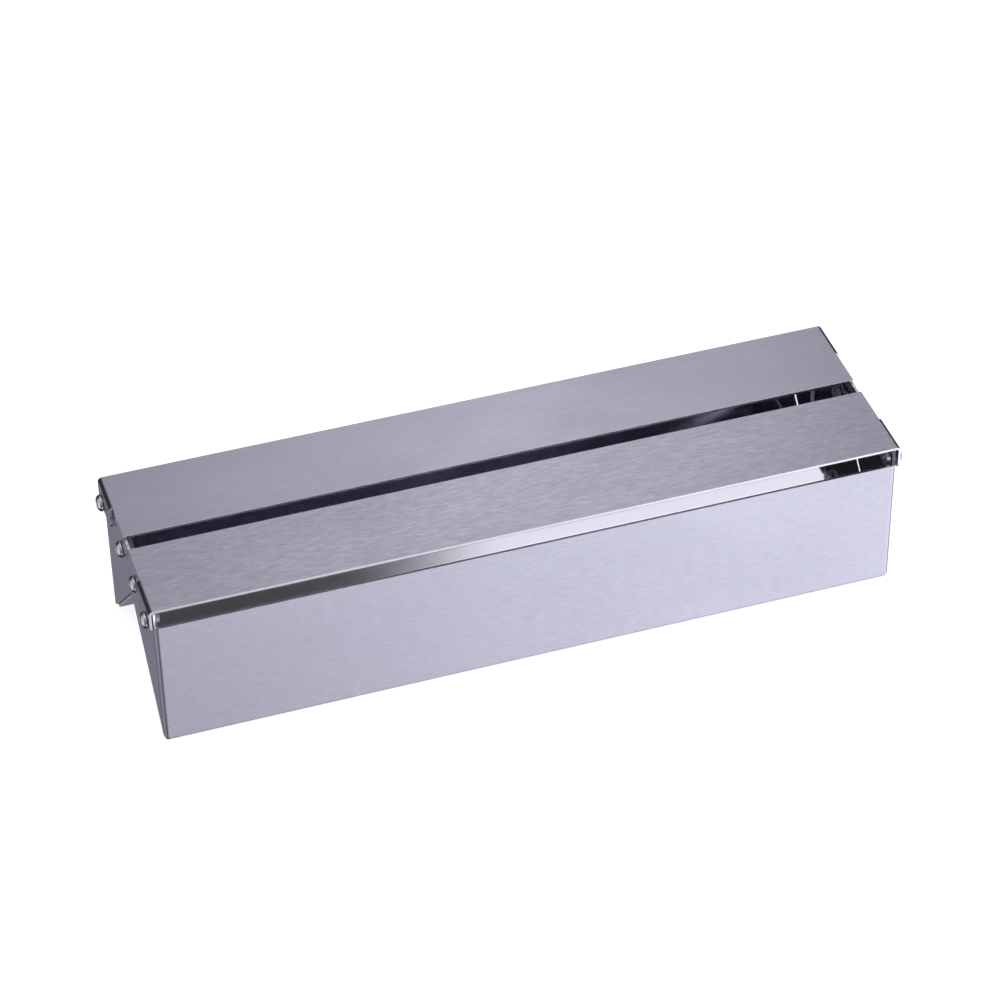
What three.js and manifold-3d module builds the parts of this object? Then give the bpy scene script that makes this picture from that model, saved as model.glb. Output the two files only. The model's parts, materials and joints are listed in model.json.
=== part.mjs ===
// Countertop film dispenser folded from stainless sheet. Two troughs lie side by side, each under
// its own hinged lid. Millimetres. +X runs along the length, -Y is the front, +Z is up.
// The origin is at the bottom centre, on the surface that the box stands on.

import * as THREE from 'three';
import { mergeVertices } from 'three/addons/utils/BufferGeometryUtils.js';
import Module from 'manifold-3d';

const wasm = await Module();
wasm.setup();

// Driving dimensions.
const bodyLength = 331.4;
const bodyDepth = 92.4;
const overallHeight = 73.4;
const sheet = 1.2;
const slotWidth = 8.6;
const frontGap = 8.6;

// Folds of the body.
const cornerBend = 2.2;
const bottomBend = 1.5;
const ridgeBend = 2.4;
const flangeNotchRise = 2.4;
const lidRest = 0.2;
const seamHalf = 0.2;
const flangeSetback = 1.4;

// Lids.
const earClearance = 0.5;
const earBend = 2;
const earLength = 21.5;
const earDrop = 12;
const earCorner = 3;
const lidEdgeInset = 1.5;
const reliefWidth = 0.5;

// Pivots and joints, M4 button head screws.
const pivotInset = 6.3;
const pivotHeight = 64.5;
const jointOffset = 12;
const jointHeight = 60.5;
const headRadius = 3.8;
const headHeight = 2.2;
const headFlatRadius = 1.7;
const shankRadius = 2;
const pivotHoleRadius = 2.1;
const jointHoleRadius = 2.3;
const socketAcrossFlats = 2.5;
const socketDepth = 1.3;
const nutAcrossFlats = 7;
const nutHeight = 2;
const shankPastNut = 0.3;
const shimRadius = 4.5;
const shimThickness = 0.2;
const seatGap = 0.3;

// End plates that tie the front and rear flanges together.
const plateHalfDepth = 18;
const plateHeight = 12;
const plateTopDrop = 6;
const plateCorner = 2;

// Worked out from the sizes above.
const halfLength = bodyLength / 2;
const halfDepth = bodyDepth / 2;
const lidUnderside = overallHeight - sheet;
const wallTop = lidUnderside - frontGap;
const flangeTop = lidUnderside - lidRest;
const flangeInner = halfLength - sheet;
const slopeUnderside = halfDepth - bottomBend * Math.SQRT2;
const slopeMiddle = slopeUnderside + (sheet / 2) * Math.SQRT2;
const flangeNotch = slopeUnderside + flangeNotchRise;
const plateOuter = flangeInner - seatGap;
const plateInner = plateOuter - sheet;
const plateTop = flangeTop - plateTopDrop;
const plateBottom = plateTop - plateHeight;
const earInner = halfLength + earClearance;
const earOuter = earInner + sheet;
const pivotY = halfDepth - pivotInset;

// Smoothness of the round shapes.
const bendSteps = 6;
const roundSteps = 16;
const domeSteps = 3;
const farOut = 400;

const outerSteel = new THREE.MeshStandardMaterial({ color: 0xaeacbc, roughness: 0.4, metalness: 1 });
const fastenerSteel = new THREE.MeshStandardMaterial({ color: 0xc8c8cc, roughness: 0.25, metalness: 1 });

const alongX = new THREE.Matrix4().makeBasis(
  new THREE.Vector3(0, 1, 0),
  new THREE.Vector3(0, 0, 1),
  new THREE.Vector3(1, 0, 0),
);
const alongY = new THREE.Matrix4().makeBasis(
  new THREE.Vector3(1, 0, 0),
  new THREE.Vector3(0, 0, 1),
  new THREE.Vector3(0, -1, 0),
);

function toSolid(geometry) {
  const bare = geometry.clone();
  bare.deleteAttribute('normal');
  bare.deleteAttribute('uv');
  const merged = mergeVertices(bare, 1e-5);
  const vertProperties = Float32Array.from(merged.attributes.position.array);
  const triVerts = Uint32Array.from(merged.index.array);
  return new wasm.Manifold(new wasm.Mesh({ numProp: 3, vertProperties, triVerts }));
}

function toGeometry(solid) {
  const { vertProperties, triVerts } = solid.getMesh();
  const geometry = new THREE.BufferGeometry();
  geometry.setAttribute('position', new THREE.BufferAttribute(vertProperties, 3));
  geometry.setIndex(new THREE.BufferAttribute(triVerts, 1));
  return geometry;
}

// Extrudes an outline in the Y-Z plane along X, between two X positions.
function prismX(shape, fromX, toX) {
  const geometry = new THREE.ExtrudeGeometry(shape, { depth: toX - fromX, bevelEnabled: false });
  return toSolid(geometry.applyMatrix4(alongX).translate(fromX, 0, 0));
}

// Extrudes an outline in the X-Z plane along Y, between two Y positions.
function prismY(shape, fromY, toY) {
  const geometry = new THREE.ExtrudeGeometry(shape, { depth: toY - fromY, bevelEnabled: false });
  return toSolid(geometry.applyMatrix4(alongY).translate(0, toY, 0));
}

// Extrudes an outline in the X-Y plane along Z, between two heights.
function prismZ(shape, fromZ, toZ) {
  const geometry = new THREE.ExtrudeGeometry(shape, { depth: toZ - fromZ, bevelEnabled: false });
  return toSolid(geometry.translate(0, 0, fromZ));
}

function block(low, high) {
  const size = high.map((value, axis) => value - low[axis]);
  const middle = high.map((value, axis) => (value + low[axis]) / 2);
  return toSolid(new THREE.BoxGeometry(...size).translate(...middle));
}

function polygon(points) {
  return new THREE.Shape(points.map(([x, y]) => new THREE.Vector2(x, y)));
}

// Rounds the corner of a path with an arc of the given radius, in steps of equal angle.
function cornerArc(before, corner, after, radius) {
  const inward = corner.clone().sub(before).normalize();
  const outward = after.clone().sub(corner).normalize();
  const turn = Math.atan2(inward.cross(outward), inward.dot(outward));
  const side = new THREE.Vector2(-inward.y, inward.x).multiplyScalar(Math.sign(turn));
  const start = corner.clone().addScaledVector(inward, -radius * Math.tan(Math.abs(turn) / 2));
  const centre = start.clone().addScaledVector(side, radius);
  const points = [];
  for (let step = 0; step <= bendSteps; step += 1) {
    const spoke = side.clone().multiplyScalar(-1).rotateAround(new THREE.Vector2(), (turn * step) / bendSteps);
    points.push({ centre, spoke, turn, radius });
  }
  return points;
}

// The cross-section of a folded sheet. The path is its middle line, and each corner between the
// two ends has the outer radius of its fold.
function foldedSheet(path, outerRadii) {
  const corners = path.map(([x, y]) => new THREE.Vector2(x, y));
  const last = corners.length - 1;
  const left = [];
  const right = [];
  const pushEnd = (point, direction) => {
    const side = new THREE.Vector2(-direction.y, direction.x).multiplyScalar(sheet / 2);
    left.push(point.clone().add(side));
    right.push(point.clone().sub(side));
  };
  pushEnd(corners[0], corners[1].clone().sub(corners[0]).normalize());
  for (let index = 1; index < last; index += 1) {
    const middleRadius = outerRadii[index - 1] - sheet / 2;
    const arc = cornerArc(corners[index - 1], corners[index], corners[index + 1], middleRadius);
    for (const { centre, spoke, turn, radius } of arc) {
      const near = centre.clone().addScaledVector(spoke, radius - sheet / 2);
      const far = centre.clone().addScaledVector(spoke, radius + sheet / 2);
      left.push(turn > 0 ? near : far);
      right.push(turn > 0 ? far : near);
    }
  }
  pushEnd(corners[last], corners[last].clone().sub(corners[last - 1]).normalize());
  return new THREE.Shape([...right, ...left.reverse()]);
}

// A rectangle whose two lower corners are round.
function roundedTab(left, right, bottom, top, radius) {
  const shape = new THREE.Shape();
  shape.moveTo(left, top);
  for (let step = 0; step <= bendSteps; step += 1) {
    const angle = Math.PI + ((Math.PI / 2) * step) / bendSteps;
    shape.lineTo(left + radius + radius * Math.cos(angle), bottom + radius + radius * Math.sin(angle));
  }
  for (let step = 0; step <= bendSteps; step += 1) {
    const angle = (Math.PI * 3) / 2 + ((Math.PI / 2) * step) / bendSteps;
    shape.lineTo(right - radius + radius * Math.cos(angle), bottom + radius + radius * Math.sin(angle));
  }
  shape.lineTo(right, top);
  return shape;
}

// A rectangle with four round corners, centred on the first axis.
function roundedPlate(halfWidth, bottom, top, radius) {
  const centres = [
    [halfWidth - radius, top - radius],
    [radius - halfWidth, top - radius],
    [radius - halfWidth, bottom + radius],
    [halfWidth - radius, bottom + radius],
  ];
  const points = [];
  centres.forEach(([x, y], quarter) => {
    for (let step = 0; step <= bendSteps; step += 1) {
      const angle = (Math.PI / 2) * (quarter + step / bendSteps);
      points.push([x + radius * Math.cos(angle), y + radius * Math.sin(angle)]);
    }
  });
  return polygon(points);
}

// A rod along X, centred on the given Y and Z.
function rodX(radius, fromX, toX, y, z) {
  const geometry = new THREE.CylinderGeometry(radius, radius, toX - fromX, roundSteps);
  return toSolid(geometry.rotateZ(Math.PI / 2).translate((fromX + toX) / 2, y, z));
}

// A hexagonal bar along X.
function hexX(acrossFlats, fromX, toX, y, z) {
  const radius = acrossFlats / Math.sqrt(3);
  const geometry = new THREE.CylinderGeometry(radius, radius, toX - fromX, 6);
  return toSolid(geometry.rotateZ(Math.PI / 2).translate((fromX + toX) / 2, y, z));
}

// One folded sheet: front wall, floor rising at 45 degrees to a ridge, the same again at the back,
// and a flange at both ends of each wall. The flanges meet at the middle seam.
function makeBody() {
  const wallMiddle = halfDepth - sheet / 2;
  const corner = slopeMiddle - wallMiddle;
  const section = foldedSheet(
    [[-wallMiddle, wallTop], [-wallMiddle, corner], [0, slopeMiddle], [wallMiddle, corner], [wallMiddle, wallTop]],
    [bottomBend, ridgeBend, bottomBend],
  );
  const flatHalf = halfLength - cornerBend;
  let body = prismX(section, -flatHalf, flatHalf);
  for (const side of [-1, 1]) {
    body = body.add(endFlanges(-1, side)).add(endFlanges(1, side)).add(slopeEnds(side));
  }
  for (const side of [-1, 1]) {
    for (const face of [-1, 1]) {
      body = body.subtract(rodX(pivotHoleRadius, side * halfLength - sheet * 2, side * halfLength + sheet * 2,
        face * pivotY, pivotHeight));
      body = body.subtract(rodX(jointHoleRadius, side * halfLength - sheet * 2, side * halfLength + sheet * 2,
        face * jointOffset, jointHeight));
    }
  }
  return body;
}

// The flange at one end of one wall, with the round fold that joins it to the wall. Its top front
// corner is an arc round the pivot, so that the lid clears it as it turns.
function endFlanges(face, side) {
  const flangeMiddle = halfLength - sheet / 2;
  const wallMiddle = halfDepth - sheet / 2;
  const plan = foldedSheet(
    [
      [side * flangeMiddle, face * seamHalf],
      [side * flangeMiddle, face * wallMiddle],
      [side * (halfLength - cornerBend * 1.5), face * wallMiddle],
    ],
    [cornerBend],
  );
  const flangeFront = halfDepth - flangeSetback;
  const swing = flangeTop - pivotHeight;
  const swingFrom = Math.acos((flangeFront - pivotY) / swing);
  const outline = [
    [seamHalf, flangeNotch - seamHalf],
    [halfDepth + sheet, flangeNotch - halfDepth - sheet],
    [halfDepth + sheet, wallTop],
    [flangeFront, wallTop],
  ];
  for (let step = 0; step <= bendSteps; step += 1) {
    const angle = swingFrom + ((Math.PI / 2 - swingFrom) * step) / bendSteps;
    outline.push([pivotY + swing * Math.cos(angle), pivotHeight + swing * Math.sin(angle)]);
  }
  outline.push([seamHalf, flangeTop]);
  const trim = polygon(outline.map(([y, z]) => [face * y, z]));
  return prismZ(plan, -sheet, overallHeight).intersect(prismX(trim, -farOut, farOut));
}

// The floor slopes run on past the ends of the walls, under the notched edges of the flanges.
function slopeEnds(side) {
  const reach = halfDepth - bottomBend * 2.5;
  const section = foldedSheet(
    [[-reach, slopeMiddle - reach], [0, slopeMiddle], [reach, slopeMiddle - reach]],
    [ridgeBend],
  );
  const from = side * (halfLength - cornerBend - sheet);
  const to = side * (halfLength - seatGap);
  return prismX(section, Math.min(from, to), Math.max(from, to));
}

// The plate inside each end, which ties the two flanges together across their seam.
function makeEndPlate(side) {
  const outline = roundedPlate(plateHalfDepth, plateBottom, plateTop, plateCorner);
  const faces = [side * plateInner, side * plateOuter];
  let plate = prismX(outline, Math.min(...faces), Math.max(...faces));
  for (const face of [-1, 1]) {
    plate = plate.subtract(rodX(jointHoleRadius, Math.min(...faces) - sheet, Math.max(...faces) + sheet,
      face * jointOffset, jointHeight));
  }
  return plate;
}

// A flat lid with an ear folded down at both ends of its outer half. It turns on the ears' holes.
// A narrow relief cut parts each ear's fold from the flat edge beside it.
function makeLid(face) {
  const earMiddle = earOuter - sheet / 2;
  const topMiddle = overallHeight - sheet / 2;
  const earBottom = overallHeight - earDrop;
  const section = foldedSheet(
    [[-earMiddle, earBottom], [-earMiddle, topMiddle], [earMiddle, topMiddle], [earMiddle, earBottom]],
    [earBend, earBend],
  );
  const outerEdge = face * halfDepth;
  const earEnd = face * (halfDepth - earLength);
  const innerEdge = face * (slotWidth / 2);
  const tab = roundedTab(Math.min(outerEdge, earEnd), Math.max(outerEdge, earEnd), earBottom,
    overallHeight + sheet, earCorner);
  const eared = prismY(section, Math.min(outerEdge, earEnd), Math.max(outerEdge, earEnd))
    .intersect(prismX(tab, -farOut, farOut));
  const edgeHalf = earOuter - lidEdgeInset;
  const flatEnd = face * (halfDepth - earLength + reliefWidth);
  let lid = eared.add(block(
    [-edgeHalf, Math.min(flatEnd, innerEdge), lidUnderside],
    [edgeHalf, Math.max(flatEnd, innerEdge), overallHeight],
  ));
  for (const side of [-1, 1]) {
    const reliefInner = side * (earOuter - earBend);
    const reliefOuter = side * (earOuter + sheet);
    const reliefEnd = face * (halfDepth - earLength - reliefWidth);
    lid = lid.subtract(block(
      [Math.min(reliefInner, reliefOuter), Math.min(earEnd, reliefEnd), lidUnderside - sheet],
      [Math.max(reliefInner, reliefOuter), Math.max(earEnd, reliefEnd), overallHeight + sheet],
    ));
    lid = lid.subtract(rodX(pivotHoleRadius, side * earOuter - sheet * 2, side * earOuter + sheet * 2,
      face * pivotY, pivotHeight));
  }
  return lid;
}

// A button head screw that points inwards along X, with a hexagon socket in its domed head.
function makeScrew(side, seatX, tipX, y, z) {
  const profile = [new THREE.Vector2(0, tipX), new THREE.Vector2(shankRadius, tipX)];
  profile.push(new THREE.Vector2(shankRadius, seatX), new THREE.Vector2(headRadius, seatX));
  for (let step = 1; step <= domeSteps; step += 1) {
    const angle = ((Math.PI / 2) * step) / domeSteps;
    const radius = headFlatRadius + (headRadius - headFlatRadius) * Math.cos(angle);
    profile.push(new THREE.Vector2(radius, seatX + headHeight * Math.sin(angle)));
  }
  profile.push(new THREE.Vector2(0, seatX + headHeight));
  const turned = new THREE.LatheGeometry(profile, roundSteps).rotateZ(-Math.PI / 2);
  if (side < 0) {
    turned.rotateZ(Math.PI);
  }
  const headTop = side * (seatX + headHeight);
  const socketEnds = [headTop - side * socketDepth, headTop + side * sheet];
  const socket = hexX(socketAcrossFlats, Math.min(...socketEnds), Math.max(...socketEnds), 0, 0);
  return toSolid(turned).subtract(socket).translate([0, y, z]);
}

function makeNut(side, faceX, y, z) {
  const ends = [side * faceX, side * (faceX - nutHeight)];
  const bar = hexX(nutAcrossFlats, Math.min(...ends), Math.max(...ends), y, z);
  return bar.subtract(rodX(jointHoleRadius, Math.min(...ends) - sheet, Math.max(...ends) + sheet, y, z));
}

// The thin washer between a flange and the ear that turns on it.
function makeShim(side, y, z) {
  const innerX = halfLength + (earClearance - shimThickness) / 2;
  const ends = [side * innerX, side * (innerX + shimThickness)];
  const disc = rodX(shimRadius, Math.min(...ends), Math.max(...ends), y, z);
  return disc.subtract(rodX(jointHoleRadius, Math.min(...ends) - sheet, Math.max(...ends) + sheet, y, z));
}

const dispenser = new THREE.Group();

function addPart(name, solid, material) {
  const mesh = new THREE.Mesh(toGeometry(solid), material);
  mesh.name = name;
  dispenser.add(mesh);
}

addPart('body_shell', makeBody(), outerSteel);
addPart('front_lid', makeLid(-1), outerSteel);
addPart('rear_lid', makeLid(1), outerSteel);

for (const [end, side] of [['left', -1], ['right', 1]]) {
  addPart(`${end}_end_plate`, makeEndPlate(side), outerSteel);
  for (const [place, face] of [['front', -1], ['rear', 1]]) {
    const label = `${place}_${end}`;
    const pivotNutFace = flangeInner - seatGap;
    const pivotTip = pivotNutFace - nutHeight - shankPastNut;
    const pivotScrew = makeScrew(side, earOuter + seatGap, pivotTip, face * pivotY, pivotHeight);
    addPart(`pivot_screw_${label}`, pivotScrew, fastenerSteel);
    addPart(`pivot_shim_${label}`, makeShim(side, face * pivotY, pivotHeight), fastenerSteel);
    addPart(`pivot_nut_${label}`, makeNut(side, pivotNutFace, face * pivotY, pivotHeight), fastenerSteel);

    const jointNutFace = plateInner - seatGap;
    const jointTip = jointNutFace - nutHeight - shankPastNut;
    const jointScrew = makeScrew(side, halfLength + seatGap, jointTip, face * jointOffset, jointHeight);
    addPart(`joint_screw_${label}`, jointScrew, fastenerSteel);
    addPart(`joint_nut_${label}`, makeNut(side, jointNutFace, face * jointOffset, jointHeight), fastenerSteel);
  }
}

export default dispenser;
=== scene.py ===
"""Looks for the stainless film dispenser: fine sheet-metal meshes, steel materials, light and camera.

Lengths are in metres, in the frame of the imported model: +X along the box, -Y the front, +Z up.
"""

import json
import math
from typing import NamedTuple

import bmesh
import bpy
from mathutils import Matrix, Vector
from mathutils.geometry import delaunay_2d_cdt


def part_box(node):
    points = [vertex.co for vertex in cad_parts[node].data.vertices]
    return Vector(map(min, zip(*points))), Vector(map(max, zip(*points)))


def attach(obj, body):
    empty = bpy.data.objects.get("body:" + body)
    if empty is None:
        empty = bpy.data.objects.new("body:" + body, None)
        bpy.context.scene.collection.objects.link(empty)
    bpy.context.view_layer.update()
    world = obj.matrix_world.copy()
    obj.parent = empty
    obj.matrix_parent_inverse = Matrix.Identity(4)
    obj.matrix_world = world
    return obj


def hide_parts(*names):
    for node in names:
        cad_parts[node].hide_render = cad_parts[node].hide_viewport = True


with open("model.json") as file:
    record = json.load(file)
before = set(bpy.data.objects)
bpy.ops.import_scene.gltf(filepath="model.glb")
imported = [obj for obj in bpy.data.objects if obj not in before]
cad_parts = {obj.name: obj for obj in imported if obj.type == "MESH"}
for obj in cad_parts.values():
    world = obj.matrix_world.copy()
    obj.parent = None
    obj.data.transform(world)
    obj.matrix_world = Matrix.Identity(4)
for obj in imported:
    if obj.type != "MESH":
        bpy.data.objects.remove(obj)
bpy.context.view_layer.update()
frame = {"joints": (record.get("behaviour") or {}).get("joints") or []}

MM = 0.001

# Places and sizes from the frame.
body_low, body_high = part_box("body_shell")
lid_low, lid_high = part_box("front_lid")
plate_low, plate_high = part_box("right_end_plate")
shim_low, shim_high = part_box("pivot_shim_front_left")
joints = {joint["name"]: joint for joint in frame["joints"]}
pivot = Vector(joints["front_lid_hinge"]["pos_m"])

HALF_LENGTH = body_high.x
HALF_DEPTH = body_high.y
FLANGE_TOP = body_high.z
LID_TOP = lid_high.z
LID_HALF_LENGTH = lid_high.x
EAR_BOTTOM = lid_low.z
SLOT_HALF = -lid_high.y
JOINT_HEIGHT = sum(corner.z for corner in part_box("joint_nut_front_right")) / 2
JOINT_OFFSET = -sum(corner.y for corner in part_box("joint_nut_front_right")) / 2
SHIM_RADIUS = (shim_high.y - shim_low.y) / 2

# The sheet and its folds.
SHEET = 1.2 * MM
CORNER_BEND = 2.2 * MM
BOTTOM_BEND = 1.5 * MM
RIDGE_BEND = 2.4 * MM
EAR_BEND = 2.0 * MM
FRONT_GAP = 8.6 * MM
NOTCH_RISE = 2.4 * MM
SEAM_HALF = 0.2 * MM
FLANGE_SETBACK = 1.4 * MM
SLOPE_END_GAP = 0.25 * MM
EAR_LENGTH = 21.5 * MM
EAR_CORNER = 3.0 * MM
LID_EDGE_INSET = 1.5 * MM
LID_CORNER = 0.4 * MM
RELIEF_WIDTH = 0.5 * MM
PLATE_CORNER = 2.0 * MM
EDGE_BREAK = 0.13 * MM
EDGE_BREAK_STEPS = 2

# Fasteners.
PIVOT_HOLE = 2.15 * MM
JOINT_HOLE = 2.3 * MM
HEAD_RADIUS = 3.8 * MM
HEAD_HEIGHT = 2.2 * MM
HEAD_FLAT_RADIUS = 1.75 * MM
HEAD_RIM = 0.12 * MM
SHANK_RADIUS = 2.0 * MM
THREAD_PITCH = 0.7 * MM
THREAD_DEPTH = 0.22 * MM
THREAD_RUNOUT = 0.07 * MM
SOCKET_FLATS = 2.5 * MM
SOCKET_DEPTH = 1.3 * MM
SOCKET_LIP = 0.12 * MM
SOCKET_POINT = 0.35 * MM
NUT_FLATS = 7.0 * MM
NUT_FACE_RADIUS = 0.985 * NUT_FLATS / 2
NUT_CORNER_SLOPE = math.tan(math.radians(30))
NUT_BORE = 2.25 * MM
NUT_BORE_CHAMFER = 0.3 * MM

# One turn of the thread: (share of the pitch, depth below the crest).
THREAD_SHAPE = ((0.06, 0), (0.2, 0), (0.6, THREAD_DEPTH))

# Degrees that each screw is turned further than the one before.
SCREW_TWIST = 17

WALL_TOP = LID_TOP - SHEET - FRONT_GAP
SLOPE_UNDERSIDE = HALF_DEPTH - BOTTOM_BEND * math.sqrt(2)
SLOPE_MIDDLE = SLOPE_UNDERSIDE + SHEET / 2 * math.sqrt(2)
NOTCH_TOP = SLOPE_UNDERSIDE + NOTCH_RISE

# The bends at the foot of the walls turn 135 degrees. The corners of the box follow their first quarter.
BEND_STEPS = 12
QUARTER_STEPS = BEND_STEPS * 90 // 135
HOLE_STEPS = 32
CORNER_STEPS = 6
TURN_STEPS = 48
DOME_STEPS = 9

# Distances below which two places count as one.
SAME_BREAK = 1e-9
NEAR = 1e-7
SAME_POINT = 1e-8
WELD = 0.002 * MM

# Angles in degrees: faces flatter than the first are joined, and edges past the second look sharp.
FLAT_ANGLE = 0.05
SHARP_ANGLE = 50

OUTSIDE, INSIDE, CUT = 0, 1, 2


# ---------------------------------------------------------------- sheet metal


class Straight(NamedTuple):
    """A straight run of a fold, from a point on the middle line."""

    start: float
    point: Vector
    heading: Vector

    def at(self, along, across):
        left = Vector((-self.heading.y, self.heading.x))
        return self.point + self.heading * (along - self.start) + left * across


class Arc(NamedTuple):
    """A bend of a fold. The spoke points from the centre to where the bend starts."""

    start: float
    centre: Vector
    spoke: Vector
    turn: float
    radius: float

    def at(self, along, across):
        angle = math.copysign((along - self.start) / self.radius, self.turn)
        turned = Matrix.Rotation(angle, 2) @ self.spoke
        return self.centre + turned * (self.radius - math.copysign(1, self.turn) * across)


class Fold:
    """The middle line of a folded sheet in a plane: straight runs joined by arcs of equal steps."""

    def __init__(self, path, outer_radii):
        self.runs = []
        self.breaks = []
        corners = [Vector(point) for point in path]
        here = corners[0]
        travelled = 0.0
        for before, corner, after, outer_radius in zip(corners, corners[1:], corners[2:], outer_radii):
            heading = (corner - before).normalized()
            following = (after - corner).normalized()
            radius = outer_radius - SHEET / 2
            turn = math.atan2(heading.x * following.y - heading.y * following.x, heading.dot(following))
            reach = radius * math.tan(abs(turn) / 2)
            arc_start = corner - heading * reach
            self.runs.append(Straight(travelled, here, heading))
            travelled += (arc_start - here).length
            side = Vector((-heading.y, heading.x)) * math.copysign(1, turn)
            self.runs.append(Arc(travelled, arc_start + side * radius, -side, turn, radius))
            arc_length = radius * abs(turn)
            self.breaks += [travelled + arc_length * step / BEND_STEPS for step in range(BEND_STEPS + 1)]
            travelled += arc_length
            here = corner + following * reach
        heading = (corners[-1] - corners[-2]).normalized()
        self.runs.append(Straight(travelled, here, heading))
        self.length = travelled + (corners[-1] - here).length

    def at(self, along, across):
        """The point at that distance along the middle line, and that far to the left of it."""
        here = self.runs[0]
        for run in self.runs:
            if run.start <= along + SAME_BREAK:
                here = run
        return here.at(along, across)


def circle(centre, radius):
    x, y = centre
    angles = [math.tau * k / HOLE_STEPS for k in range(HOLE_STEPS)]
    return [(x + radius * math.cos(angle), y + radius * math.sin(angle)) for angle in angles]


def inside_polygon(point, polygon):
    """Whether a level line from the point crosses the polygon's sides an odd number of times."""
    x, y = point
    odd = False
    for (x0, y0), (x1, y1) in zip(polygon, polygon[1:] + polygon[:1]):
        if (y0 > y) != (y1 > y) and x < x0 + (y - y0) * (x1 - x0) / (y1 - y0):
            odd = not odd
    return odd


def round_corners(points):
    """A polygon from (x, y, radius) corners, with an arc where the radius isn't zero."""
    result = []
    count = len(points)
    for index, (x, y, radius) in enumerate(points):
        corner = Vector((x, y))
        if not radius:
            result.append((x, y))
            continue
        before = (Vector(points[index - 1][:2]) - corner).normalized()
        after = (Vector(points[(index + 1) % count][:2]) - corner).normalized()
        half = before.angle(after) / 2
        centre = corner + (before + after).normalized() * (radius / math.sin(half))
        start = corner + before * (radius / math.tan(half)) - centre
        end = corner + after * (radius / math.tan(half)) - centre
        for step in range(CORNER_STEPS + 1):
            spoke = start.slerp(end, step / CORNER_STEPS)
            result.append(tuple(centre + spoke.normalized() * radius))
    return result


def flat_pattern(outline, holes, breaks, rows):
    """Triangles of the unfolded sheet, with edges along every break line and every row line."""
    verts, edges = [], []
    for loop in [outline, *holes]:
        first = len(verts)
        verts += [Vector(point) for point in loop]
        edges += [(first + k, first + (k + 1) % len(loop)) for k in range(len(loop))]
    overrun = 1 * MM
    left = min(point[0] for point in outline) - overrun
    right = max(point[0] for point in outline) + overrun
    low = min(point[1] for point in outline) - overrun
    high = max(point[1] for point in outline) + overrun
    lines = [((along, low), (along, high)) for along in breaks]
    lines += [((left, cross), (right, cross)) for cross in rows]
    for start, end in lines:
        edges.append((len(verts), len(verts) + 1))
        verts += [Vector(start), Vector(end)]
    points, _, triangles, *_ = delaunay_2d_cdt(verts, edges, [], 0, SAME_POINT)
    kept = []
    for triangle in triangles:
        middle = sum((points[k] for k in triangle), Vector((0, 0))) / 3
        if inside_polygon(middle, outline) and not any(inside_polygon(middle, hole) for hole in holes):
            kept.append(triangle)
    return points, kept


def add_sheet(mesh, outline, holes, breaks, place, outer_sign, open_edge=None, rows=()):
    """Adds a folded sheet to the mesh. place(along, cross, across) gives a point in the frame, and
    outer_sign says on which side of the middle line the outside face lies. Where open_edge is true
    of both ends of an edge, the rim is left open for the next sheet to join."""
    points, triangles = flat_pattern(outline, holes, breaks, rows)
    outer, inner = {}, {}
    for index in {k for triangle in triangles for k in triangle}:
        along, cross = points[index]
        outer[index] = mesh.verts.new(place(along, cross, outer_sign * SHEET / 2))
        inner[index] = mesh.verts.new(place(along, cross, -outer_sign * SHEET / 2))
    uses = {}
    for a, b, c in triangles:
        mesh.faces.new([outer[a], outer[b], outer[c]]).material_index = OUTSIDE
        mesh.faces.new([inner[c], inner[b], inner[a]]).material_index = INSIDE
        for edge in ((a, b), (b, c), (c, a)):
            uses[edge] = uses.get(edge, 0) + 1
    for a, b in uses:
        if (b, a) in uses:
            continue
        if open_edge and open_edge(points[a]) and open_edge(points[b]):
            continue
        mesh.faces.new([outer[b], outer[a], inner[a], inner[b]]).material_index = CUT


def finish_sheet(name, mesh):
    """Joins, cleans and softens the edges of a sheet, and makes it an object."""
    bmesh.ops.remove_doubles(mesh, verts=mesh.verts, dist=WELD)
    bmesh.ops.dissolve_limit(
        mesh,
        angle_limit=math.radians(FLAT_ANGLE),
        verts=mesh.verts,
        edges=mesh.edges,
        delimit={"MATERIAL"},
    )
    bmesh.ops.recalc_face_normals(mesh, faces=mesh.faces)
    rims = [
        edge for edge in mesh.edges
        if len(edge.link_faces) == 2
        and edge.link_faces[0].material_index != edge.link_faces[1].material_index
    ]
    bmesh.ops.bevel(
        mesh,
        geom=rims,
        offset=EDGE_BREAK,
        offset_type="OFFSET",
        segments=EDGE_BREAK_STEPS,
        profile=0.5,
        affect="EDGES",
        clamp_overlap=True,
        material=CUT,
    )
    return finish_object(name, mesh)


def finish_object(name, mesh):
    """Makes a smooth-shaded object of the mesh, whose flat faces still look flat."""
    data = bpy.data.meshes.new(name)
    for face in mesh.faces:
        face.smooth = True
    mesh.to_mesh(data)
    mesh.free()
    data.set_sharp_from_angle(angle=math.radians(SHARP_ANGLE))
    piece = bpy.data.objects.new(name, data)
    bpy.context.scene.collection.objects.link(piece)
    weighted = piece.modifiers.new("flat_faces", "WEIGHTED_NORMAL")
    weighted.keep_sharp = True
    weighted.weight = 100
    return piece


def half_turn(mesh):
    """Adds a copy of the whole mesh, turned half round the upright axis."""
    copied = bmesh.ops.duplicate(mesh, geom=mesh.verts[:] + mesh.edges[:] + mesh.faces[:])
    turned = [item for item in copied["geom"] if isinstance(item, bmesh.types.BMVert)]
    bmesh.ops.rotate(mesh, verts=turned, matrix=Matrix.Rotation(math.pi, 3, "Z"))


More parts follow.
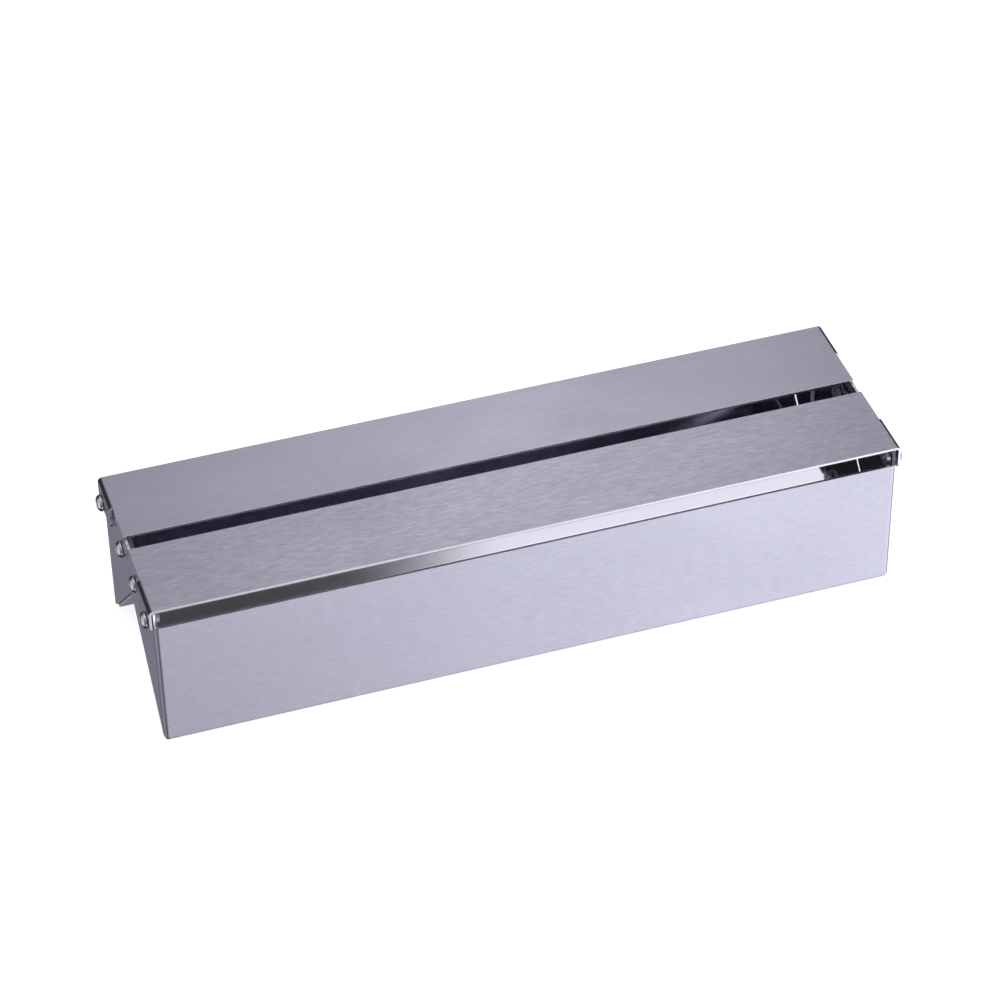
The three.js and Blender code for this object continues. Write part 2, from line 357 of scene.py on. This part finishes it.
def end_of_flange(seam_to_fold, fold_radius):
    """The upper front corner of a flange, from its front edge to its top: an arc round the pivot, so
    that the lid clears it. Each point is (distance from the seam, height)."""
    swing = FLANGE_TOP - pivot.z
    pivot_along = -pivot.y - SEAM_HALF
    front = seam_to_fold + fold_radius * math.asin((CORNER_BEND - FLANGE_SETBACK) / fold_radius)
    start = math.acos((front - pivot_along) / swing)
    corner = [(front, WALL_TOP)]
    for step in range(QUARTER_STEPS + 1):
        angle = start + (math.pi / 2 - start) * step / QUARTER_STEPS
        corner.append((pivot_along + swing * math.cos(angle), pivot.z + swing * math.sin(angle)))
    return corner


def body_shell():
    """The walls and the end flanges are one sheet, in two half-turned copies of the front half. The
    floor slopes, with the bends at the foot of the walls, are the next sheet, joined to the first."""
    mesh = bmesh.new()
    flange = HALF_LENGTH - SHEET / 2
    wall = HALF_DEPTH - SHEET / 2
    walls = Fold(
        [(-flange, -SEAM_HALF), (-flange, -wall), (flange, -wall), (flange, -SEAM_HALF)],
        [CORNER_BEND, CORNER_BEND],
    )
    length = walls.length
    fold_radius = CORNER_BEND - SHEET / 2
    bottom_radius = BOTTOM_BEND - SHEET / 2
    straight = HALF_DEPTH - CORNER_BEND - SEAM_HALF
    flat_start = straight + fold_radius * math.pi / 2
    notch = NOTCH_TOP - SEAM_HALF
    half = [
        (flat_start, BOTTOM_BEND),
        (flat_start, BOTTOM_BEND - bottom_radius * math.pi / 2),
        (straight, notch - straight),
        (0, notch),
        (0, FLANGE_TOP),
        *reversed(end_of_flange(straight, fold_radius)),
    ]
    outline = [(length - along, height) for along, height in half] + list(reversed(half))
    holes = []
    for from_seam, height, radius in (
        (-pivot.y - SEAM_HALF, pivot.z, PIVOT_HOLE),
        (JOINT_OFFSET - SEAM_HALF, JOINT_HEIGHT, JOINT_HOLE),
    ):
        holes += [circle((from_seam, height), radius), circle((length - from_seam, height), radius)]

    def place(along, height, across):
        if height >= BOTTOM_BEND:
            return (*walls.at(along, across), height)
        angle = (BOTTOM_BEND - height) / bottom_radius
        reach = bottom_radius - across
        inward = bottom_radius - reach * math.cos(angle)
        return (*walls.at(along, inward), BOTTOM_BEND - reach * math.sin(angle))

    def joins_floor(point):
        from_end = min(point[0], length - point[0])
        return point[1] < BOTTOM_BEND + NEAR and from_end > flat_start - NEAR

    corner = SLOPE_MIDDLE - wall
    floor = Fold(
        [(-wall, BOTTOM_BEND), (-wall, corner), (0, SLOPE_MIDDLE), (wall, corner), (wall, BOTTOM_BEND)],
        [BOTTOM_BEND, RIDGE_BEND, BOTTOM_BEND],
    )
    quarter = floor.breaks[:QUARTER_STEPS + 1]
    add_sheet(
        mesh, outline, holes, walls.breaks, place, outer_sign=-1,
        open_edge=joins_floor, rows=[BOTTOM_BEND - along for along in quarter],
    )
    half_turn(mesh)

    flat_half = HALF_LENGTH - CORNER_BEND
    wide_half = HALF_LENGTH - SHEET - SLOPE_END_GAP
    bend_end = floor.breaks[BEND_STEPS] + 1 * MM
    widths = [
        (0, flat_half),
        (bend_end, flat_half),
        (bend_end, wide_half),
        (floor.length - bend_end, wide_half),
        (floor.length - bend_end, flat_half),
        (floor.length, flat_half),
    ]
    outline = [(along, -reach) for along, reach in widths] + list(reversed(widths))

    def joins_wall(point):
        from_end = min(point[0], floor.length - point[0])
        return from_end < NEAR or (from_end < quarter[-1] + NEAR and abs(point[1]) > flat_half - NEAR)

    add_sheet(
        mesh, outline, [], floor.breaks,
        lambda along, cross, across: (cross, *floor.at(along, across)),
        outer_sign=-1, open_edge=joins_wall,
    )
    return finish_sheet("body_shell_folded", mesh)


def lid(name, turned):
    """A flat lid with an ear folded down at each end of its outer edge. The rear one is turned half
    round."""
    mesh = bmesh.new()
    ear = LID_HALF_LENGTH - SHEET / 2
    top = LID_TOP - SHEET / 2
    fold = Fold([(-ear, EAR_BOTTOM), (-ear, top), (ear, top), (ear, EAR_BOTTOM)], [EAR_BEND, EAR_BEND])
    flat_from = fold.breaks[BEND_STEPS]
    flat_x = -ear + EAR_BEND - SHEET / 2
    length = fold.length
    ear_end = -HALF_DEPTH + EAR_LENGTH
    edge = flat_from - (LID_HALF_LENGTH - LID_EDGE_INSET + flat_x)
    half = [
        (0, -HALF_DEPTH, EAR_CORNER),
        (0, ear_end, EAR_CORNER),
        (flat_from, ear_end, 0),
        (flat_from, ear_end + RELIEF_WIDTH, 0),
        (edge, ear_end + RELIEF_WIDTH, 0),
        (edge, -SLOT_HALF, LID_CORNER),
    ]
    outline = round_corners(half + [(length - x, y, radius) for x, y, radius in reversed(half)])
    outline.reverse()
    hole_along = pivot.z - EAR_BOTTOM
    holes = [circle((x, pivot.y), PIVOT_HOLE) for x in (hole_along, length - hole_along)]

    def place(along, cross, across):
        if cross > ear_end + RELIEF_WIDTH / 2:
            x, z = flat_x + along - flat_from, top + across
        else:
            x, z = fold.at(along, across)
        return (x, cross, z)

    add_sheet(mesh, outline, holes, fold.breaks, place, outer_sign=1)
    if turned:
        bmesh.ops.rotate(mesh, verts=mesh.verts, matrix=Matrix.Rotation(math.pi, 3, "Z"))
    return finish_sheet(name, mesh)


def end_plate(name, side):
    """A small upright plate with round corners and two holes. side is -1 at the left, 1 at the right."""
    mesh = bmesh.new()
    outline = round_corners([
        (plate_high.y, plate_low.z, PLATE_CORNER),
        (plate_high.y, plate_high.z, PLATE_CORNER),
        (plate_low.y, plate_high.z, PLATE_CORNER),
        (plate_low.y, plate_low.z, PLATE_CORNER),
    ])
    holes = [circle((place, JOINT_HEIGHT), JOINT_HOLE) for place in (-JOINT_OFFSET, JOINT_OFFSET)]
    middle = side * (plate_low.x + plate_high.x) / 2
    add_sheet(
        mesh, outline, holes, [],
        lambda along, cross, across: (middle + side * across, along, cross),
        outer_sign=1,
    )
    return finish_sheet(name, mesh)


# ---------------------------------------------------------------- fasteners


def ring(mesh, radius, height):
    """One closed ring of vertices round the Z axis. The radius and the height are one number each, or
    a list with one for each step."""
    radii = radius if isinstance(radius, list) else [radius] * TURN_STEPS
    heights = height if isinstance(height, list) else [height] * TURN_STEPS
    return [
        mesh.verts.new((
            radii[k] * math.cos(math.tau * k / TURN_STEPS),
            radii[k] * math.sin(math.tau * k / TURN_STEPS),
            heights[k],
        ))
        for k in range(TURN_STEPS)
    ]


def join_rings(mesh, rings, closed=False):
    """Faces between each ring and the next, and between the last and the first if closed."""
    pairs = list(zip(rings, rings[1:]))
    if closed:
        pairs.append((rings[-1], rings[0]))
    for lower, upper in pairs:
        for k in range(TURN_STEPS):
            following = (k + 1) % TURN_STEPS
            mesh.faces.new([lower[k], lower[following], upper[following], upper[k]])


def cap_ring(mesh, loop, height):
    """Closes a ring with a cone to a point on the axis at that height."""
    tip = mesh.verts.new((0, 0, height))
    for k in range(TURN_STEPS):
        mesh.faces.new([loop[k], loop[(k + 1) % TURN_STEPS], tip])


def hexagon_radii(across_flats):
    """The radius of a hexagon at each step round the axis, with its corners on steps."""
    sixth = math.tau / 6
    return [
        across_flats / 2 / math.cos((math.tau * k / TURN_STEPS) % sixth - sixth / 2)
        for k in range(TURN_STEPS)
    ]


def screw_mesh(low, high):
    """A button head screw along +Z, with its head and its hexagon socket at the top."""
    mesh = bmesh.new()
    seat = high - HEAD_HEIGHT
    rings = [ring(mesh, SHANK_RADIUS - THREAD_DEPTH * 2, low)]
    height = low + THREAD_DEPTH
    while height + THREAD_PITCH < seat - THREAD_PITCH / 2:
        for share, depth in THREAD_SHAPE:
            rings.append(ring(mesh, SHANK_RADIUS - depth, height + THREAD_PITCH * share))
        height += THREAD_PITCH
    rings.append(ring(mesh, SHANK_RADIUS, height + THREAD_RUNOUT))
    rings.append(ring(mesh, SHANK_RADIUS, seat))
    rings.append(ring(mesh, HEAD_RADIUS - HEAD_RIM, seat))
    rings.append(ring(mesh, HEAD_RADIUS, seat + HEAD_RIM))
    dome = high - seat - HEAD_RIM
    for step in range(DOME_STEPS + 1):
        angle = math.pi / 2 * step / DOME_STEPS
        radius = HEAD_FLAT_RADIUS + (HEAD_RADIUS - HEAD_FLAT_RADIUS) * math.cos(angle)
        rings.append(ring(mesh, radius, seat + HEAD_RIM + dome * math.sin(angle)))
    socket = hexagon_radii(SOCKET_FLATS)
    rings.append(ring(mesh, [radius + SOCKET_LIP for radius in socket], high))
    rings.append(ring(mesh, socket, high - SOCKET_LIP))
    rings.append(ring(mesh, socket, high - SOCKET_DEPTH))
    join_rings(mesh, rings)
    cap_ring(mesh, rings[-1], high - SOCKET_DEPTH - SOCKET_POINT)
    cap_ring(mesh, rings[0], low)
    bmesh.ops.recalc_face_normals(mesh, faces=mesh.faces)
    return mesh


def nut_mesh(low, high):
    """A hexagon nut along +Z, with its corners chamfered and its bore countersunk."""
    mesh = bmesh.new()
    hexagon = hexagon_radii(NUT_FLATS)
    drops = [max(radius - NUT_FACE_RADIUS, 0) * NUT_CORNER_SLOPE for radius in hexagon]
    rings = [
        ring(mesh, NUT_BORE, low + NUT_BORE_CHAMFER),
        ring(mesh, NUT_BORE + NUT_BORE_CHAMFER, low),
        ring(mesh, NUT_FACE_RADIUS, low),
        ring(mesh, hexagon, [low + drop for drop in drops]),
        ring(mesh, hexagon, [high - drop for drop in drops]),
        ring(mesh, NUT_FACE_RADIUS, high),
        ring(mesh, NUT_BORE + NUT_BORE_CHAMFER, high),
        ring(mesh, NUT_BORE, high - NUT_BORE_CHAMFER),
    ]
    join_rings(mesh, rings, closed=True)
    bmesh.ops.recalc_face_normals(mesh, faces=mesh.faces)
    return mesh


def shim_mesh(low, high):
    """A thin washer along +Z, with its rims rounded off."""
    mesh = bmesh.new()
    round_off = (high - low) / 4
    rings = [
        ring(mesh, JOINT_HOLE, low + round_off),
        ring(mesh, JOINT_HOLE + round_off, low),
        ring(mesh, SHIM_RADIUS - round_off, low),
        ring(mesh, SHIM_RADIUS, low + round_off),
        ring(mesh, SHIM_RADIUS, high - round_off),
        ring(mesh, SHIM_RADIUS - round_off, high),
        ring(mesh, JOINT_HOLE + round_off, high),
        ring(mesh, JOINT_HOLE, high - round_off),
    ]
    join_rings(mesh, rings, closed=True)
    bmesh.ops.recalc_face_normals(mesh, faces=mesh.faces)
    return mesh


def fastener(node, make, twist):
    """A finer piece in the place of one of the CAD model's fasteners. make(low, high) is given the
    piece's two ends along its axis, measured outwards from the middle of the box. twist turns it
    about its axis, in degrees."""
    low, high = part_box(node)
    side = math.copysign(1, low.x + high.x)
    ends = sorted((abs(low.x), abs(high.x)))
    centre = (low + high) / 2
    mesh = make(*ends)
    outwards = Matrix.Rotation(side * math.pi / 2, 4, "Y")
    turn = Matrix.Rotation(math.radians(twist), 4, "Z")
    place = Matrix.Translation((0, centre.y, centre.z))
    bmesh.ops.transform(mesh, matrix=place @ outwards @ turn, verts=mesh.verts)
    return finish_object(f"{node}_fine", mesh)


# ---------------------------------------------------------------- materials

# Brushed steel. The tint is what it takes on at grazing angles, and the share is how much of its
# grain is strokes, with fine grain for the rest.
LID_COLOUR = (0.505, 0.492, 0.590)
BODY_COLOUR = (0.570, 0.564, 0.685)
EDGE_TINT = (0.88, 0.87, 1.0, 1)
STROKE_SHARE = 0.65


def new_material(name):
    """A bare metal, and what is needed to add to its nodes."""
    material = bpy.data.materials.new(name)
    material.use_nodes = True
    nodes = material.node_tree.nodes
    shader = nodes["Principled BSDF"]
    shader.inputs["Metallic"].default_value = 1.0
    return material, nodes, material.node_tree.links, shader


def stretched_noise(nodes, links, scale, detail, stretch):
    """Noise in object space, drawn out along X."""
    coordinates = nodes.new("ShaderNodeTexCoord")
    mapping = nodes.new("ShaderNodeMapping")
    mapping.inputs["Scale"].default_value = (1 / stretch, 1, 1)
    noise = nodes.new("ShaderNodeTexNoise")
    noise.inputs["Scale"].default_value = scale
    noise.inputs["Detail"].default_value = detail
    links.new(coordinates.outputs["Object"], mapping.inputs["Vector"])
    links.new(mapping.outputs["Vector"], noise.inputs["Vector"])
    return noise.outputs["Fac"]


def spread(nodes, links, value, low, high, from_low=0.3, from_high=0.7):
    """Maps the middle of a noise's range onto low to high."""
    node = nodes.new("ShaderNodeMapRange")
    node.inputs["From Min"].default_value = from_low
    node.inputs["From Max"].default_value = from_high
    node.inputs["To Min"].default_value = low
    node.inputs["To Max"].default_value = high
    links.new(value, node.inputs["Value"])
    return node.outputs["Result"]


def tint(nodes, links, factor, dark, light):
    """A colour that goes from dark to light as the factor goes from 0 to 1."""
    ramp = nodes.new("ShaderNodeValToRGB")
    ramp.color_ramp.elements[0].color = (*dark, 1)
    ramp.color_ramp.elements[1].color = (*light, 1)
    links.new(factor, ramp.inputs["Fac"])
    return ramp.outputs["Color"]


def bump(nodes, links, height, strength, distance, under=None):
    """Presses the height into the surface, on top of another bump if there is one under it."""
    node = nodes.new("ShaderNodeBump")
    node.inputs["Strength"].default_value = strength
    node.inputs["Distance"].default_value = distance
    links.new(height, node.inputs["Height"])
    if under is not None:
        links.new(under, node.inputs["Normal"])
    return node.outputs["Normal"]


def brushed_steel(name, colour, contrast):
    """Sheet brushed along its length: short fine strokes, cloudy patches, and a very slight wave.
    contrast says how much lighter and darker the strokes are."""
    material, nodes, links, shader = new_material(name)
    fine = stretched_noise(nodes, links, scale=2600, detail=3, stretch=9)
    strokes = stretched_noise(nodes, links, scale=1150, detail=2, stretch=6)
    cloud = stretched_noise(nodes, links, scale=22, detail=3, stretch=2)
    wave = stretched_noise(nodes, links, scale=8, detail=1, stretch=2)
    mixed = nodes.new("ShaderNodeMix")
    mixed.data_type = "FLOAT"
    mixed.inputs["Factor"].default_value = STROKE_SHARE
    links.new(fine, mixed.inputs["A"])
    links.new(strokes, mixed.inputs["B"])
    grain = mixed.outputs["Result"]
    shade = spread(nodes, links, grain, low=0, high=1, from_low=0.36, from_high=0.64)
    dark = tuple(level * (1 - contrast) for level in colour)
    light = tuple(level * (1 + contrast) for level in colour)
    shader.inputs["Specular Tint"].default_value = EDGE_TINT
    links.new(tint(nodes, links, shade, dark, light), shader.inputs["Base Color"])
    links.new(spread(nodes, links, cloud, low=0.27, high=0.32), shader.inputs["Roughness"])
    waved = bump(nodes, links, wave, strength=1, distance=0.2 * MM)
    normal = bump(nodes, links, grain, strength=0.25, distance=0.04 * MM, under=waved)
    links.new(normal, shader.inputs["Normal"])
    return material


def marked_steel(name, colours, roughness, colour_marks, bump_marks, strength, depth):
    """Plain steel with faint marks. The marks are (scale, detail, stretch) of a noise: the first shade
    it between the two colours and the two roughnesses, and the second are pressed in."""
    material, nodes, links, shader = new_material(name)
    shaded = stretched_noise(nodes, links, *colour_marks)
    pressed = shaded if bump_marks == colour_marks else stretched_noise(nodes, links, *bump_marks)
    links.new(tint(nodes, links, shaded, *colours), shader.inputs["Base Color"])
    links.new(spread(nodes, links, shaded, *roughness), shader.inputs["Roughness"])
    links.new(bump(nodes, links, pressed, strength, depth), shader.inputs["Normal"])
    return material


def bright_sheet():
    """The inside face: bright rolled steel, almost a mirror, with faint marks from handling."""
    return marked_steel(
        "bright_sheet",
        colours=((0.80, 0.79, 0.85), (0.86, 0.85, 0.90)),
        roughness=(0.04, 0.08),
        colour_marks=(35, 3, 2),
        bump_marks=(1500, 2, 40),
        strength=0.04,
        depth=0.02 * MM,
    )


def cut_edge():
    """The deburred edge of the sheet, with fine marks drawn out along it."""
    return marked_steel(
        "cut_edge",
        colours=((0.72, 0.72, 0.77), (0.80, 0.80, 0.85)),
        roughness=(0.22, 0.30),
        colour_marks=(1200, 2, 12),
        bump_marks=(1200, 2, 12),
        strength=0.02,
        depth=0.02 * MM,
    )


def fastener_steel():
    """Stainless screws and nuts, smooth, with faint mottling."""
    return marked_steel(
        "bright_fastener",
        colours=((0.60, 0.60, 0.64), (0.72, 0.72, 0.77)),
        roughness=(0.26, 0.38),
        colour_marks=(700, 3, 1),
        bump_marks=(700, 3, 1),
        strength=0.15,
        depth=0.03 * MM,
    )


# ---------------------------------------------------------------- the object

INSIDE_AND_EDGE = [bright_sheet(), cut_edge()]
BODY_MATERIALS = [brushed_steel("brushed_body", BODY_COLOUR, 0.06), *INSIDE_AND_EDGE]
FRONT_MATERIALS = [brushed_steel("brushed_front_lid", LID_COLOUR, 0.14), *INSIDE_AND_EDGE]
REAR_MATERIALS = [brushed_steel("brushed_rear_lid", LID_COLOUR, 0.05), *INSIDE_AND_EDGE]
FASTENER_MATERIAL = fastener_steel()


def declare(piece, node, body, materials):
    """Gives a piece its materials, says which body it rides on, and hides the CAD node it stands for."""
    for material in materials:
        piece.data.materials.append(material)
    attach(piece, body)
    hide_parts(node)


def add_fastener(node, make, twist=0):
    declare(fastener(node, make, twist), node, "base", [FASTENER_MATERIAL])


declare(body_shell(), "body_shell", "base", BODY_MATERIALS)
for node, turned, materials in (("front_lid", False, FRONT_MATERIALS), ("rear_lid", True, REAR_MATERIALS)):
    declare(lid(f"{node}_folded", turned), node, node, materials)

twist = 0
for end, side in (("left", -1), ("right", 1)):
    plate = end_plate(f"{end}_end_plate_fine", side)
    declare(plate, f"{end}_end_plate", "base", BODY_MATERIALS)
    for place in ("front", "rear"):
        for kind in ("pivot", "joint"):
            twist += SCREW_TWIST
            add_fastener(f"{kind}_screw_{place}_{end}", screw_mesh, twist)
            add_fastener(f"{kind}_nut_{place}_{end}", nut_mesh)
        add_fastener(f"pivot_shim_{place}_{end}", shim_mesh)


# ---------------------------------------------------------------- stage, light and camera

FLOOR_HALF = 6.0
FLOOR_COLOUR = (0.9, 0.9, 0.9, 1)
FLOOR_GLOW = 0.75

# The room's light. A rise is the sine of an elevation.
ROOM_COLOUR = (0.985, 0.985, 1.0, 1)
ROOM_LEVEL = 0.015
CEILING_RISE = 0.86
CEILING_SOFTNESS = 0.06
CEILING_LEVEL = 1.1

# Each card is (the side its azimuths are measured from, its two azimuths in degrees towards +X, its
# two rises, the softness of both, its strength).
CARDS = [
    ("front", (17.8, 80), (-0.98, -0.69), (1.6, 0.02), 1.14),
    ("front", (17.8, 80), (-0.69, -0.40), (1.6, 0.02), 1.54),
    ("front", (17.8, 80), (0.66, 0.82), (2.0, 0.04), 1.30),
    ("front", (-19, 17.8), (-0.69, -0.25), (2, 0.015), 0.93),
    ("front", (2, 17.8), (-0.98, 0.82), (6, 0.04), 0.06),
    ("front", (-115, -35), (-0.68, -0.10), (6, 0.03), 0.45),
    ("front", (-70, 60), (0.16, 0.62), (10, 0.06), 0.35),
    ("back", (13.5, 22), (0.50, 0.80), (4, 0.06), 1.25),
    ("back", (-14, 50), (0.46, 0.84), (10, 0.06), 0.36),
    ("back", (-35, 60), (-0.95, -0.35), (10, 0.10), 0.31),
    ("back", (-125, -58), (-0.60, 0.80), (6, 0.06), 0.65),
    ("back", (75, 110), (-0.95, 0.80), (8, 0.06), 0.60),
]

# Light goes back and forth many times between the bright faces inside the box.
MAX_BOUNCES = 16
GLOSSY_BOUNCES = 12

# The camera: degrees to the right of +Y, degrees down, degrees of roll, and its place.
CAMERA_YAW = 17.45
CAMERA_PITCH = 39.84
CAMERA_ROLL = -0.92
CAMERA_PLACE = (-0.35685, -1.1336, 1.0439)
CAMERA_LENS = 128.06
CAMERA_SENSOR = 36.0


def floor():
    """A pale floor that glows a little, so its shadows stay faint. The steel mirrors the room below
    it instead, as a cut-out object would."""
    mesh = bmesh.new()
    corners = ((-1, -1), (1, -1), (1, 1), (-1, 1))
    mesh.faces.new([mesh.verts.new((x * FLOOR_HALF, y * FLOOR_HALF, 0)) for x, y in corners])
    data = bpy.data.meshes.new("floor")
    mesh.to_mesh(data)
    mesh.free()
    material = bpy.data.materials.new("pale_floor")
    material.use_nodes = True
    shader = material.node_tree.nodes["Principled BSDF"]
    shader.inputs["Base Color"].default_value = FLOOR_COLOUR
    shader.inputs["Roughness"].default_value = 0.9
    shader.inputs["Specular IOR Level"].default_value = 0.1
    shader.inputs["Emission Color"].default_value = (1, 1, 1, 1)
    shader.inputs["Emission Strength"].default_value = FLOOR_GLOW
    data.materials.append(material)
    piece = bpy.data.objects.new("floor", data)
    piece.visible_glossy = False
    bpy.context.scene.collection.objects.link(piece)


def math_node(nodes, links, operation, first, second):
    """One step of arithmetic on two values, each a number or another node's output."""
    node = nodes.new("ShaderNodeMath")
    node.operation = operation
    for value, socket in ((first, node.inputs[0]), (second, node.inputs[1])):
        if isinstance(value, (int, float)):
            socket.default_value = value
        else:
            links.new(value, socket)
    return node.outputs["Value"]


def soft_step(nodes, links, value, middle, softness, low=0.0, high=1.0):
    """Goes smoothly from low to high as the value passes the middle."""
    node = nodes.new("ShaderNodeMapRange")
    node.interpolation_type = "SMOOTHSTEP"
    node.inputs["From Min"].default_value = middle - softness
    node.inputs["From Max"].default_value = middle + softness
    node.inputs["To Min"].default_value = low
    node.inputs["To Max"].default_value = high
    links.new(value, node.inputs["Value"])
    return node.outputs["Result"]


def card(nodes, links, bounds, softnesses, strength):
    """A soft-edged patch of light. bounds pairs each of the two directions, the azimuth in degrees and
    the rise, with its lowest and highest value on the patch."""
    level = strength
    for (value, (low, high)), softness in zip(bounds, softnesses):
        fade_in = soft_step(nodes, links, value, low, softness)
        fade_out = soft_step(nodes, links, value, high, softness, 1.0, 0.0)
        level = math_node(nodes, links, "MULTIPLY", fade_in, level)
        level = math_node(nodes, links, "MULTIPLY", fade_out, level)
    return level


def azimuth_degrees(nodes, links, x, forward):
    """The angle towards +X from the direction that forward measures."""
    radians = math_node(nodes, links, "ARCTAN2", x, forward)
    return math_node(nodes, links, "MULTIPLY", radians, math.degrees(1))


def studio():
    """A dim room with a pale ceiling and soft-edged cards of light round the box. The camera sees it
    as plain white."""
    world = bpy.data.worlds.new("studio")
    world.use_nodes = True
    nodes = world.node_tree.nodes
    links = world.node_tree.links
    coordinates = nodes.new("ShaderNodeTexCoord")
    split = nodes.new("ShaderNodeSeparateXYZ")
    links.new(coordinates.outputs["Generated"], split.inputs["Vector"])
    x, y, rise = (split.outputs[axis] for axis in "XYZ")
    flipped = math_node(nodes, links, "MULTIPLY", y, -1.0)
    azimuths = {
        "back": azimuth_degrees(nodes, links, x, y),
        "front": azimuth_degrees(nodes, links, x, flipped),
    }
    level = soft_step(nodes, links, rise, CEILING_RISE, CEILING_SOFTNESS, ROOM_LEVEL, CEILING_LEVEL)
    for side, sides, rises, softnesses, strength in CARDS:
        bounds = ((azimuths[side], sides), (rise, rises))
        patch = card(nodes, links, bounds, softnesses, strength)
        level = math_node(nodes, links, "ADD", level, patch)
    path = nodes.new("ShaderNodeLightPath")
    shown = nodes.new("ShaderNodeMix")
    shown.data_type = "FLOAT"
    links.new(path.outputs["Is Camera Ray"], shown.inputs["Factor"])
    links.new(level, shown.inputs["A"])
    shown.inputs["B"].default_value = 1.0
    background = nodes["Background"]
    background.inputs["Color"].default_value = ROOM_COLOUR
    links.new(shown.outputs["Result"], background.inputs["Strength"])
    bpy.context.scene.world = world


def camera():
    yaw, pitch, roll = (math.radians(angle) for angle in (CAMERA_YAW, CAMERA_PITCH, CAMERA_ROLL))
    forward = Vector((math.sin(yaw) * math.cos(pitch), math.cos(yaw) * math.cos(pitch), -math.sin(pitch)))
    right = forward.cross(Vector((0, 0, 1))).normalized()
    up = right.cross(forward)
    rolled_right = right * math.cos(roll) + up * math.sin(roll)
    rolled_up = up * math.cos(roll) - right * math.sin(roll)
    data = bpy.data.cameras.new("camera")
    data.lens = CAMERA_LENS
    data.sensor_width = CAMERA_SENSOR
    data.clip_start = 0.05
    data.clip_end = 50.0
    piece = bpy.data.objects.new("camera", data)
    rotation = Matrix((rolled_right, rolled_up, -forward)).transposed().to_4x4()
    piece.matrix_world = Matrix.Translation(CAMERA_PLACE) @ rotation
    bpy.context.scene.collection.objects.link(piece)
    bpy.context.scene.camera = piece


floor()
studio()
camera()
bpy.context.scene.view_settings.view_transform = "Standard"
bpy.context.scene.cycles.max_bounces = MAX_BOUNCES
bpy.context.scene.cycles.glossy_bounces = GLOSSY_BOUNCES
